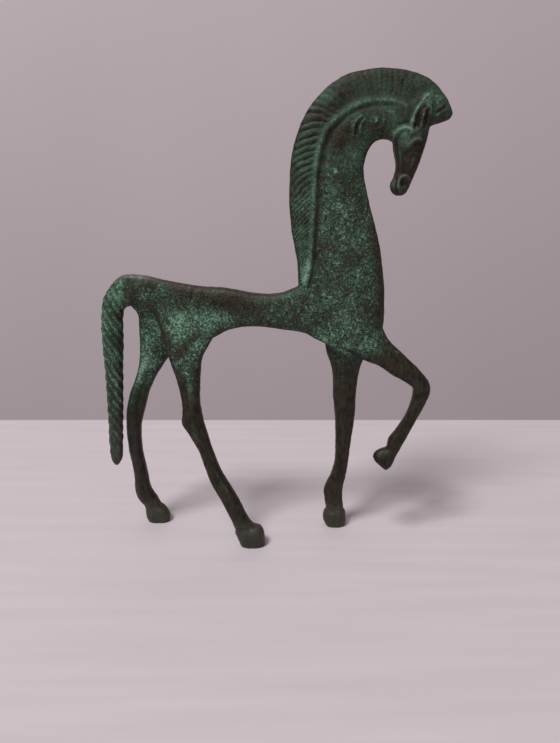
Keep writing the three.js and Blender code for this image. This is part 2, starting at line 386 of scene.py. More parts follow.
def stroke(path, width, spots):
    """1 on the line, falling to 0 beside it and towards its ends."""
    share = np.zeros(len(spots))
    points = np.array(path)
    low, high = points.min(0) - 1.5 * width, points.max(0) + 1.5 * width
    inside = np.flatnonzero(((spots[:, ::2] > low) & (spots[:, ::2] < high)).all(1))
    if len(inside):
        distance, run, _, total = measure_line(path, spots[inside])
        fade = ramp(np.minimum(run, total - run), -0.1 * width, 1.2 * width)
        share[inside] = np.exp(-((2 * distance / width) ** 2)) * fade
    return share


def spot_of(centre, radii, spots):
    """1 at the centre of an oval, falling to 0 outside it."""
    gap = (spots[:, ::2] - np.array(centre)) / np.array(radii)
    return np.exp(-(gap**2).sum(1))


# %% [markdown]
# ### The face, the ear and the body's own lines
#
# A horse's head has a round cheek with a sharp rear edge, a hollow below it, an eye under a brow, and a
# muzzle with a nostril and a closed mouth. Some lines are only a ridge left by the tool, such as the two
# arcs behind the ear and the seam above the standing leg.

# %% Marks: path, width, height, in mm
BEAD = [
    (20.3, 149), (22.8, 160), (23.8, 175), (24.3, 188), (24.6, 198.6), (25.2, 208.7), (26.9, 218.7),
    (29.6, 226), (34.7, 231.6), (41.3, 236), (48.4, 238.6), (56.1, 239.3), (63.9, 238.4), (70.6, 235.6),
]
SHOULDER = 215  # height at which the bead turns over the neck
NECK_GROOVE = [(x + 2, z) if z < SHOULDER else (x + 1.2, z - 2.2) for x, z in BEAD[:-1]]
LINES = [
    # the bead beside the mane, and the groove below it
    (BEAD, 3, 0.7),
    (NECK_GROOVE, 1.8, -0.2),
    # the ear's rim, hollow and folds
    ([(70.6, 226.5), (71, 231.3), (73.2, 236), (76.4, 240), (78.8, 242)], 1.5, 0.6),
    ([(72.8, 226), (73.1, 230.5), (74.7, 235), (77.2, 238.3)], 1.8, -1.3),
    ([(77.2, 226.5), (77.7, 231.5), (78, 236)], 1.6, -1.2),
    ([(74.6, 226.5), (75.1, 230.6), (76.4, 234)], 1.2, 0.9),
    ([(79.2, 227), (79.8, 232.4), (79.4, 237)], 1.1, 0.4),
    # cheek, brow, eye and cheek bones
    ([(63, 219), (62.7, 223.6), (64.6, 226), (67.6, 227.2), (70.4, 226.2), (72, 223.8)], 1.8, 1),
    ([(62.2, 228), (64.5, 228.3), (67.5, 229), (70, 228.4)], 2, -0.45),
    ([(70.6, 218.6), (71.6, 221), (74.2, 222), (77, 220.9)], 1.4, 0.9),
    ([(71.6, 216.2), (73.4, 215.3), (75.8, 215.6), (77, 217)], 1.2, 0.6),
    ([(69.3, 220.6), (69.9, 216.4)], 1.2, 0.6),
    ([(65.6, 217.5), (66.6, 212), (66.2, 207)], 1.6, 0.6),
    ([(73.2, 214.6), (71.9, 210.6), (70.6, 206.8)], 1.8, 0.6),
    # mouth and nostril
    ([(65, 205), (64.8, 202), (65, 198.4), (66.2, 196.4)], 1.2, -0.9),
    ([(66.2, 198.6), (66.2, 201.8), (67, 204.2), (68.9, 205.2), (71, 204.6), (71.6, 202.6)], 1.3, 0.9),
    # arcs behind the ear, and tool marks on the neck
    ([(43, 222.4), (42.7, 227.2), (44.2, 230.3), (47.4, 233.2)], 1.1, 0.85),
    ([(46.8, 223.4), (45.9, 226.5), (46.8, 229.3), (49, 231.4)], 1.1, 0.8),
    ([(44.9, 223.4), (44.4, 227), (45.6, 230)], 1.2, -0.7),
    ([(52.5, 226.6), (55.6, 227), (57.4, 229.6), (56.4, 232.6)], 1, 0.4),
    ([(43.1, 181.9), (47.1, 186.9)], 0.9, 0.35),
    ([(41.4, 178.8), (44.5, 182.7)], 0.9, 0.3),
    ([(50.5, 176.6), (52, 181.6)], 0.9, 0.3),
    # haunch, and the seam above the standing leg
    ([(-49.2, 108.7), (-46.7, 109.9), (-43, 112)], 1.4, 0.6),
    ([(29, 123), (33, 120.6), (37.6, 117.6), (41.5, 115.3), (46, 112.8)], 2, 0.7),
    ([(31, 118.6), (35.6, 115.2), (40, 112)], 2, -0.4),
    # shins and tendons
    ([(-44, 106), (-41, 99), (-41, 88.8), (-40.6, 77.8), (-38.6, 67.3), (-35.5, 61)], 3.6, 0.5),
    ([(-35, 101), (-34.6, 90), (-33.8, 80), (-31.6, 70)], 3, -0.35),
    ([(-30.4, 55), (-27.1, 44.4), (-21.7, 34.9), (-15, 23)], 2, 0.35),
    ([(38, 103), (41.5, 92), (43, 80), (43.6, 66)], 3.4, 0.35),
    ([(47, 118), (56, 117.5), (66, 112.5), (76, 104), (84.5, 97.5)], 5, 0.35),
    # folds of the forelock
    ([(81.8, 234.9), (86.6, 238)], 1.2, 0.4),
    ([(82.3, 232.2), (87.9, 235.6)], 1.2, 0.4),
    ([(81.9, 233.5), (87.3, 236.9)], 1, -0.4),
    ([(85, 241.2), (82.1, 237)], 1.2, 0.35),
    ([(82.6, 229.6), (85.6, 231)], 1, -0.3),
    ([(79.9, 243.6), (77.2, 241.4), (73, 239.4), (69.8, 235.6)], 2.6, 0.5),
]
OVALS = [  # centre, radii, height: cheek, eye, muzzle, then dents and lumps
    ((68.6, 220.2), (4, 3.8), 0.55),
    ((68.2, 215.8), (2, 2.3), -0.9),
    ((74.4, 218.2), (3.2, 2.7), -1),
    ((74.4, 218.2), (1.3, 1.2), 1.2),
    ((69.6, 200.6), (3, 3.2), 0.5),
    ((68.6, 201.6), (1.3, 1.7), -1.5),
    ((63.8, 201.4), (1.5, 2.4), 0.5),
    ((66.5, 208.4), (2, 3), -0.3),
    ((53.7, 230.2), (0.9, 0.9), 0.6),
    ((35, 207.5), (1.1, 1.1), 0.55),
    ((28.9, 193.4), (0.9, 0.9), 0.5),
    ((34.8, 178.8), (1, 1), -0.6),
    ((44.5, 139.5), (2, 3), 0.4),
    ((46, 137), (2.4, 1.4), -0.3),
    ((66.5, 56.4), (2.6, 2), -0.35),
    ((80.9, 94), (2.4, 2.4), 0.3),
    ((40.4, 11.6), (2.2, 1.8), -0.5),
]
print(len(LINES), "lines and", len(OVALS), "ovals")

# %% [markdown]
# ### The mane
#
# The mane is hatched from its outer rim up to the bead beside the neck. Its strokes follow the bead, so
# they are drawn in the bead's own measures: how far along it, and how far out from it. Low down they are
# close and steep, and at the shoulder of the curve wide and flat. The real ones are 1.5 to 3 mm apart;
# the close ones are drawn about 2 mm apart, because finer ones would melt together.

# %% Hatching of the mane
MANE_RUN = [0, 30, 46, 56, 72, 84, 98, 125]  # mm along the bead, where the next three rows are given
MANE_GAP = [2.2, 2.2, 2.4, 2.9, 3.1, 2.6, 1.9, 1.9]  # mm from stroke to stroke
MANE_SLANT = [1.05, 1.1, 0.95, 0.62, 0.5, 0.4, 0.12, -0.1]  # mm along for each mm out
MANE_DEPTH = [0.5, 0.55, 0.5, 0.75, 0.85, 0.5, 0.26, 0.22]  # mm
MANE_WIDTH = 20  # mm from the bead to where the strokes run out
MANE_REAR, MANE_FRONT, MANE_FOOT = 8, 86, 150  # mm, the part of the skin that is looked at for it


def wobble(spots, size, seed):
    """Smooth unevenness between -1 and 1, with hills of about the given size in mm."""
    shift = Vector((seed, 0, 0))
    return np.array([noise.noise(Vector(spot) / size + shift) for spot in spots])


def mane_lift(spots):
    """Grooves between the mane's strokes."""
    lift = np.zeros(len(spots))
    x, z = spots[:, 0], spots[:, 2]
    near = np.flatnonzero((x > MANE_REAR) & (x < MANE_FRONT) & (z > MANE_FOOT))
    distance, run, side, total = measure_line(BEAD, spots[near])
    fine = np.linspace(0, total, 400)
    turns = np.concatenate([[0], np.cumsum(np.diff(fine) / np.interp(fine[1:], MANE_RUN, MANE_GAP))])
    slanted = run + np.interp(run, MANE_RUN, MANE_SLANT) * distance
    phase = np.interp(slanted, fine, turns) + 0.3 * wobble(spots[near], size=5, seed=3)
    groove = 1 - np.abs(np.sin(math.pi * phase)) ** 0.9
    depth = np.interp(run, MANE_RUN, MANE_DEPTH) * (1 + 0.5 * wobble(spots[near], size=3.5, seed=7))
    hatched = (side > 0) * ramp(distance, 1.2, 2.4) * ramp(total - run, 1, 8)
    hatched = hatched * ramp(MANE_WIDTH - distance, 0, 4)
    lift[near] = -depth * groove * hatched
    return lift


# %% [markdown]
# ### The tail, the hooves and the casting skin
#
# The tail is a twist of strands that run down and forwards across each face. A hoof flares below a thin
# pastern, with a shallow groove at the coronet. Over everything lies the skin that damp sand leaves:
# grains of about 1 mm, on low hills from the hand that rubbed the pattern.

# %% Strands, hooves and sand skin
STRAND_GAP = 3.5  # mm from strand to strand
STRAND_SLOPE = 1.8  # mm down for each mm forwards
STRAND_HEIGHT = 0.75  # mm
SAND_HILLS = ((1.2, 0.09), (2.6, 0.12), (5, 0.1), (9, 0.16))  # size and height in mm
CORONETS = {  # hoof: a spot on the coronet, and its slope
    "near_hind": ((-10, 12.2), 0.2),
    "far_hind": ((-69.5, 11.4), 0),
    "standing_fore": ((41.4, 11.6), 0),
}
CORONET_DEPTH = 0.38  # mm
WALL_PROUD = 0.2  # mm that the hoof's wall stands out below the coronet
FILED_FLAT = 0.45  # mm of each sole that is filed away level


def strand_lift(spots, face):
    """Ridges and grooves of the tail's twist."""
    phase = (spots[:, 2] + STRAND_SLOPE * spots[:, 0]) / STRAND_GAP
    phase = phase + 0.25 * wobble(spots, size=7, seed=11)
    wave = np.abs(np.sin(math.pi * phase / 2)) - 0.6 + 0.25 * np.sin(math.pi * phase)
    on_tail = ramp(-spots[:, 0], 73, 78) * ramp(spots[:, 2], 50, 62) * ramp(156 - spots[:, 2], 0, 8)
    return STRAND_HEIGHT * wave * on_tail * (0.4 + 0.6 * face)


def coronet_lift(spots):
    """A groove round each standing leg above its hoof, and the hoof's wall standing proud below it."""
    lift = np.zeros(len(spots))
    for (x, z), slope in CORONETS.values():
        above = spots[:, 2] - z - slope * (spots[:, 0] - x)
        close = ramp(14 - np.abs(spots[:, 0] - x), 0, 3)
        wall = WALL_PROUD * np.exp(-(((above + 2.6) / 2) ** 2))
        groove = CORONET_DEPTH * np.exp(-(((above - 0.4) / 1.3) ** 2))
        lift += close * (wall - groove)
    return lift


def marks_on(spots, lines, ovals):
    """The height of every drawn mark at each spot, in mm."""
    marks = mane_lift(spots)
    for path, width, height in lines:
        marks += height * stroke(path, width, spots)
    for centre, radii, height in ovals:
        marks += height * spot_of(centre, radii, spots)
    return marks


def store(made, key, values):
    """Keeps one number per vertex on the mesh."""
    layer = made.data.attributes.new(key, "FLOAT", "POINT")
    layer.data.foreach_set("value", np.ascontiguousarray(values, dtype=np.float32))


def chase(made, lines, ovals, strands):
    """Pushes every mark into the skin, then sets the soles flat on the ground."""
    mesh = made.data
    spots = array_of(mesh.vertices, "co") / MM
    normals = array_of(mesh.vertex_normals, "vector")
    face = ramp(np.abs(normals[:, 1]), 0.2, 0.6)
    marks = marks_on(spots, lines, ovals) * face
    if strands:
        marks += strand_lift(spots, face)
    marks += coronet_lift(spots)
    skin = sum(height * wobble(spots, size, seed=size) for size, height in SAND_HILLS)
    move_out(made, marks + skin)
    store(made, "relief", marks)
    spots = array_of(mesh.vertices, "co")
    spots[spots[:, 2] < FILED_FLAT * MM, 2] = 0
    mesh.vertices.foreach_set("co", spots.ravel())
    mesh.update()
    print(made.name, "deepest mark", round(float(marks.min()), 2), "mm")


chase(horse, LINES, OVALS, True)

# %% The far leg has its own marks
FAR_LEG_LINES = [
    ([(-66.5, 110), (-71.8, 98), (-76, 89.6), (-79.2, 80), (-80.2, 69), (-80.4, 60.4)], 3.4, 0.6),
    ([(-64.4, 104), (-69, 95), (-73, 86), (-76, 76), (-77, 66)], 2.4, -0.5),
    ([(-68, 19), (-71.5, 13.5)], 2.4, 0.3),
]
chase(far_leg, FAR_LEG_LINES, [], False)

# %% [markdown]
# ## Where the patina is green
#
# The bronze is first darkened to brown-black, then dabbed with a copper salt that grows verdigris. The
# green stays where it was dabbed, on the haunch, the chest, the bead and the mane, and is rubbed off the
# rims, the legs and the muzzle. Beside the bead and in the crease over the far leg, the darker lines are
# also painted shade. A painted texture could hold that, but a brush of lines and ovals is
# easier to read and to move, so each vertex gets an amount of green, which the material turns into
# colour. Two more amounts are kept in the same way: how far hands have polished the patina, together with
# a painted sheen on the upward faces of the rump, the back and the mane's rim and a painted highlight on
# raised marks; and how strongly its grains stand out.

# %% Dabs of green: lines and ovals with an amount each
GREEN_LINES = [
    # bead, mane's foot, cheek, ear's rim, forelock and mane
    (BEAD[6:12], 4, 0.06),
    ([(19.4, 150), (20, 158), (21.5, 166)], 5, 0.45),
    ([(63.8, 222), (66.5, 225), (71, 225)], 5, 0.5),
    ([(70.6, 228), (72.5, 234.5), (77, 240.5)], 2.4, 0.35),
    ([(84, 234), (80, 240), (74, 243)], 10, 0.36),
    ([(18, 165), (16, 185), (17, 205), (21, 222)], 12, 0.16),
    # ridges of the near hind leg and the standing foreleg, and the seam above it
    ([(-41.6, 104), (-41.6, 92), (-41, 78), (-38.6, 66)], 3, 0.16),
    ([(-30, 56), (-26.6, 44.4), (-20, 33)], 1.8, 0.2),
    ([(42, 104), (43, 92), (44, 80)], 2.6, 0.28),
    ([(26, 124.5), (33, 120.6), (41.5, 115.2), (49.5, 110)], 2.4, 0.12),
]
BARE_AND_SHADE_LINES = [
    # beside the bead, painted shade together with the groove's darker patina; along the back, and under the
    # haunch
    (NECK_GROOVE[1:9], 4.4, 0.2),
    ([(-28, 141), (-10, 137.5), (8, 137)], 13, 0.16),
    ([(-62, 151), (-40, 147.5), (-15, 143), (8, 140)], 12, 0.22),
    ([(-50, 115.6), (-45, 118), (-38, 123.5), (-33, 127.4)], 4.6, 0.36),
    # inside the ear, the forehead and the nose
    ([(74, 227), (74.6, 232), (77, 237)], 4.4, 0.6),
    ([(79, 226), (79.3, 234)], 2.6, 0.4),
    ([(78, 222), (75.5, 211), (73, 203)], 5, 0.35),
    ([(68, 216), (69.5, 208), (69.3, 200), (66, 198)], 7, 0.3),
    # the breast, the raised foreleg and the near hind leg
    ([(54, 184), (58, 166), (61.5, 150), (61.5, 138), (59.5, 124)], 6, 0.3),
    ([(58, 119), (68, 110.5), (79, 102), (86, 96)], 12, 0.34),
    ([(-48, 104), (-43.6, 92), (-43.6, 80), (-41, 72)], 5, 0.22),
    # patches of the neck, painted shade in the crease over the far leg, and the rump
    ([(33, 213), (38, 224), (46, 229)], 7, 0.2),
    ([(48, 176), (54, 160)], 7, 0.15),
    ([(-64.9, 143.4), (-60, 139.1), (-56.3, 129.4), (-54.2, 117.5), (-50, 106)], 3, 0.4),
    ([(-78.5, 144), (-73, 149), (-62, 152)], 8, 0.2),
]
GREEN_OVALS = [
    # haunch, chest and rump
    ((-46, 130), (9, 7), 0.42),
    ((-29, 132.5), (8, 5.5), 0.36),
    ((-36.5, 118), (5, 6), 0.3),
    ((-43, 108), (4, 6), 0.24),
    ((44, 126), (12, 8), 0.24),
    ((-55.4, 149), (4, 2.4), 0.2),
    ((-64, 145.4), (3, 3), 0.25),
    ((-75, 152), (3, 2), 0.2),
    ((-77, 146), (3, 3), 0.15),
    ((40, 190), (9, 16), 0.08),
    # hooves, knee, and two spots on the neck
    ((66.5, 57.4), (3.4, 2.4), 0.45),
    ((40.6, 12), (3.2, 2.6), 0.35),
    ((-6, 10.4), (5, 3), 0.25),
    ((-9, 5), (9, 7), 0.08),
    ((41.5, 8), (8, 9), 0.1),
    ((80.4, 86), (1.6, 1.6), 0.3),
    ((53.7, 230.2), (1, 1), 0.4),
    ((35, 207.5), (1.2, 1.2), 0.4),
]
HOOF_TOP = 20  # mm above the ground
TAIL_FRONT = -75
RIM_BARE = 0.36  # green lost on the narrow edges


def share_of_green(made, spots, normals):
    """How green the patina is at each spot, from 0 to about 1."""
    x, z = spots[:, 0], spots[:, 2]
    if made is far_leg:
        green = 0.22 + 0.5 * ramp(z, 66, 104) + 0.1 * ramp(HOOF_TOP - z, 0, 8)
    else:
        hindquarters = 0.12 + 0.4 * ramp(z, 78, 120)
        forehand = 0.06 + 0.44 * ramp(z, 88, 124)
        tail = 0.38 + 0.28 * ramp(z, 48, 90)
        green = np.where(x < 0, hindquarters, forehand)
        green = np.where(x < TAIL_FRONT, tail, green)
        muzzle = ramp(x - 0.2 * (222 - z), 61, 63.5) * ramp(229 - z, 0, 8)
        green = green - 0.1 * muzzle
        for path, width, amount in GREEN_LINES:
            green = green + amount * stroke(path, width, spots)
        # the bare lines also hold painted shade beside the bead and in the crease over the far leg
        for path, width, amount in BARE_AND_SHADE_LINES:
            green = green - amount * stroke(path, width, spots)
        for centre, radii, amount in GREEN_OVALS:
            green = green + amount * spot_of(centre, radii, spots)
    rim = 1 - ramp(np.abs(normals[:, 1]), 0.35, 0.85)
    return np.clip(green - RIM_BARE * rim, 0, 1.2)


def wear_and_sheen(spots, normals, relief):
    """Where hands have polished the patina, and where light is painted: a painted sheen on the upward faces
    of the rump, the back and the mane's rim; polish and a painted highlight on raised marks; real wear on
    the hooves and the tail's end.
    """
    x, z = spots[:, 0], spots[:, 2]
    # painted sheen: the upward faces of the rump, the back and the mane's rim are lightened as if lit from
    # above
    painted_sheen_facing_up = ramp(normals[:, 2], 0.35, 0.8) * ramp(z, 120, 130)
    rump_sheen = spot_of((-67, 156), (9, 4), spots)
    mane = spot_of((19, 236), (12, 14), spots)
    back_sheen = 0.12 * ramp(12 - x, 0, 6)
    # raised marks: polish, and a painted highlight, strongest on the head
    ridge_wear_and_highlight = 0.3 * ramp(relief, 0.2, 0.9) * (0.4 + 0.6 * ramp(x, 60, 63))
    hooves = 0.2 * ramp(HOOF_TOP - z, 0, 8)
    low = hooves + 0.16 * ramp(-x, 76, 79) * ramp(84 - z, 0, 20)
    return np.clip(painted_sheen_facing_up * (0.8 * rump_sheen + 0.5 * mane + back_sheen) + ridge_wear_and_highlight + low, 0, 1)


def coarseness(spots):
    """How strongly the grains of verdigris stand out: most on the flat body, least on head and hooves."""
    x, z = spots[:, 0], spots[:, 2]
    coarse = 1.3 + 0.6 * ramp(z, 80, 108) * ramp(220 - z, 0, 30) * ramp(x, -80, -72)
    high = np.flatnonzero((z > MANE_FOOT) & (x > MANE_REAR))
    distance, _, side, _ = measure_line(BEAD, spots[high])
    mane = np.where(side > 0, 1, 1 - ramp(distance, 1.5, 4))
    coarse[high] -= 0.6 * mane * ramp(z[high], 148, 158)
    head = ramp(x, 59, 64) * ramp(z, 192, 197)
    coarse = coarse * (1 - head) + 0.8 * head
    return coarse - 0.5 * ramp(HOOF_TOP - z, 0, 8)


for made in (horse, far_leg):
    spots = array_of(made.data.vertices, "co") / MM
    normals = array_of(made.data.vertex_normals, "vector")
    relief = np.empty(len(spots))
    made.data.attributes["relief"].data.foreach_get("value", relief)
    green = share_of_green(made, spots, normals)
    store(made, "green", green)
    store(made, "wear_and_sheen", wear_and_sheen(spots, normals, relief))
    store(made, "coarse", coarseness(spots))
    print(made.name, "mean green", round(float(green.mean()), 2))


# %% [markdown]
# ## Sawing the castings apart
#
# The horse is poured as a flat body, a tail and four legs, and each is brazed on with a thin film of
# brass. The skin is sculpted whole, so that its lines run on across the joints, and is then sawn at the
# joints with two cuts 0.5 mm apart: the slice between them becomes the braze. bisect_plane cuts only the
# faces near the joint, split_edges opens the cut, and holes_fill closes both ends flat, as a saw and a
# file leave them.

# %% Joints: a point on the joint, the way into the limb, and the box of the skin that the saw passes, in mm
BRAZE = 0.5  # mm of brass between the castings
JOINTS = {
    "tail": ((-72.5, 0, 148), (-1, 0, -0.1), (-78, 134, -66, 162)),
    "near_hind_leg": ((-42, 0, 117), (0.28, -0.25, -1), (-66, 104, -14, 131)),
    "standing_foreleg": ((43, 0, 112.6), (-0.5, 0.1, -1), (28, 103.5, 58, 122)),
    "raised_foreleg": ((61.5, 0, 115), (1, 0, -0.72), (54, 105.5, 76, 130)),
}
print("sawn joints:", ", ".join(JOINTS))


def saw(bm, point, into, box):
    """Cuts the skin open along a plane, only inside the box of the side view."""
    west, low, east, high = (v * MM for v in box)
    faces = [
        face for face in bm.faces
        if west < face.verts[0].co.x < east and low < face.verts[0].co.z < high
    ]
    geometry = list({part for face in faces for part in (face, *face.edges, *face.verts)})
    cut = bmesh.ops.bisect_plane(bm, geom=geometry, plane_co=point, plane_no=into, dist=1e-7)
    edges = [part for part in cut["geom_cut"] if isinstance(part, bmesh.types.BMEdge)]
    bmesh.ops.split_edges(bm, edges=edges)


def sawn(made):
    """The skin as loose closed pieces."""
    bm = bmesh.new()
    bm.from_mesh(made.data)
    for point, into, box in JOINTS.values():
        point = Vector(point) * MM
        into = Vector(into).normalized()
        for offset in (0, BRAZE * MM):
            saw(bm, point + into * offset, into, box)
    open_edges = [edge for edge in bm.edges if edge.is_boundary]
    caps = bmesh.ops.holes_fill(bm, edges=open_edges, sides=0)["faces"]
    for cap in caps:
        for edge in cap.edges:
            edge.smooth = False
    bm.to_mesh(made.data)
    bm.free()
    bpy.ops.object.select_all(action="DESELECT")
    bpy.context.view_layer.objects.active = made
    made.select_set(True)
    bpy.ops.mesh.separate(type="LOOSE")
    pieces = list(bpy.context.selected_objects)
    bpy.ops.object.select_all(action="DESELECT")
    return pieces


def middle_of(piece):
    """The middle of a piece's box."""
    corners = np.array([corner[:] for corner in piece.bound_box])
    return (corners.min(0) + corners.max(0)) / 2


def copy_of(made, name):
    """A copy of an object with its own mesh."""
    twin = bpy.data.objects.new(name, made.data.copy())
    bpy.context.scene.collection.objects.link(twin)
    return twin


def combine(made, tool, operation):
    """Cuts an object with another one."""
    step = made.modifiers.new("cut", "BOOLEAN")
    step.operation = operation
    step.solver = "MANIFOLD"
    step.object = tool
    bake_modifiers(made)


# %% [markdown]
# The far hind leg is lapped: it lies on the far face of the rump, and its film of brass follows the
# rump's skin. A skin 0.5 mm bigger than the horse cuts the leg back, and what the horse itself leaves of
# the slice between is the film.

# %% The lapped leg and its film
swollen = copy_of(horse, "swollen")
move_out(swollen, BRAZE)
far_hind_braze = copy_of(far_leg, "far_hind_braze_film")
combine(far_hind_braze, swollen, "INTERSECT")
combine(far_hind_braze, horse, "DIFFERENCE")
combine(far_leg, swollen, "DIFFERENCE")
bpy.data.objects.remove(swollen)
far_leg.name = "far_hind_leg_casting"
for made in (far_leg, far_hind_braze):
    print(made.name, len(made.data.polygons), "faces")

# %% The other castings and films, told apart by where they are
INSIDE = {  # a spot near the middle of each casting, in mm
    "body": (8, 0, 188),
    "tail": (-84, 0, 100),
    "near_hind_leg": (-30, -8, 60),
    "standing_foreleg": (43, 5, 56),
    "raised_foreleg": (75, -4, 83),
}
pieces = sorted(sawn(horse), key=lambda piece: len(piece.data.polygons))
films, castings = pieces[: len(JOINTS)], pieces[len(JOINTS) :]
spare = {name: castings for name in INSIDE} | {name + "_braze": films for name in JOINTS}
places = INSIDE | {name + "_braze": point for name, (point, into, box) in JOINTS.items()}
PIECES = {"far_hind_leg": far_leg, "far_hind_leg_braze": far_hind_braze}
for name, place in places.items():
    target = Vector(place) * MM
    PIECES[name] = min(spare[name], key=lambda piece: (Vector(middle_of(piece)) - target).length)
for name, piece in PIECES.items():
    piece.name = name.replace("_braze", "_brass_film") if "braze" in name else "cast_" + name
    piece.data.name = piece.name
    print(piece.name, len(piece.data.polygons), "faces")
assert len(set(PIECES.values())) == len(PIECES)

# %% [markdown]
# ## The patinated bronze
#
# Seen close, the green is not a coat of paint: it lies in grains between dark pits, chalky and dull,
# while the bare brown metal between them has a low waxy gleam. So two fine noises decide, grain by grain,
# whether the dark or the green shows, and a cloudy one changes it from dab to dab. The amount of green on
# the vertex shifts the odds, a raised mark is a little greener, and the vertex's coarseness says how hard
# the grains stand out. Where there is little green it lies as a thin veil. Rubbed places turn grey and
# smoother, and the same colour is painted as a sheen on the upward faces of the rump, the back and the
# mane's rim, and as a highlight on raised marks.

# %% Colours and a helper for nodes
def linear(code):
    """An sRGB hex colour as linear red, green, blue and alpha."""
    parts = [int(code[i : i + 2], 16) / 255 for i in (1, 3, 5)]
    return (*(p / 12.92 if p < 0.04045 else ((p + 0.055) / 1.055) ** 2.4 for p in parts), 1)


def add_node(tree, kind, settings=None, **inputs):
    """A node with its settings; an input, named or numbered like _0, is a value or another node's output."""
    node = tree.nodes.new("ShaderNode" + kind)
    for key, value in (settings or {}).items():
        setattr(node, key, value)
    for key, value in inputs.items():
        socket = node.inputs[int(key[1:])] if key[0] == "_" else node.inputs[key.replace("_", " ")]
        if isinstance(value, bpy.types.NodeSocket):
            tree.links.new(value, socket)
        else:
            socket.default_value = value
    return node


def new_material(name):
    """An empty material with a Principled shader."""
    made = bpy.data.materials.new(name)
    made.use_nodes = True
    return made, made.node_tree, made.node_tree.nodes["Principled BSDF"]


# %% Bronze with an applied verdigris patina
GRAIN = 0.8  # mm, the verdigris grains; real ones are about 0.4 mm, drawn coarser so that they show
PIT = 1.6  # mm, the dark pits of the sand skin; real ones are about 1 mm, drawn coarser for the same reason
CLOUD = 9.0  # mm, cloudy changes from dab to dab, at their real size
FILE_MARK = 1.8  # mm, streaks left by the file along the limbs; real ones are 0.3 mm, too fine to show
PIT_SHARE = 0.6  # how much a pit counts beside a grain
EVEN = 0.8  # what grains and pits come to on average
RIDGE_SHARE = 0.4  # more green for each mm that a mark stands proud
CLOUD_SHARE = 0.7
WAXY_IOR_LEVEL = 0.35  # a waxed patina gleams less than bare metal
SMOOTH_STEP = {"interpolation_type": "SMOOTHSTEP"}
MULTIPLY_ADD = {"operation": "MULTIPLY_ADD"}
MULTIPLY = {"operation": "MULTIPLY"}
SUBTRACT = {"operation": "SUBTRACT"}
COLOUR_MIX = {"data_type": "RGBA"}
MIX_OUT = 2  # a Mix node's colour output; its colour inputs are sockets 6 and 7
ALONG_LIMBS = (1, 1, 0.4)  # makes the file's streaks longer up and down than across


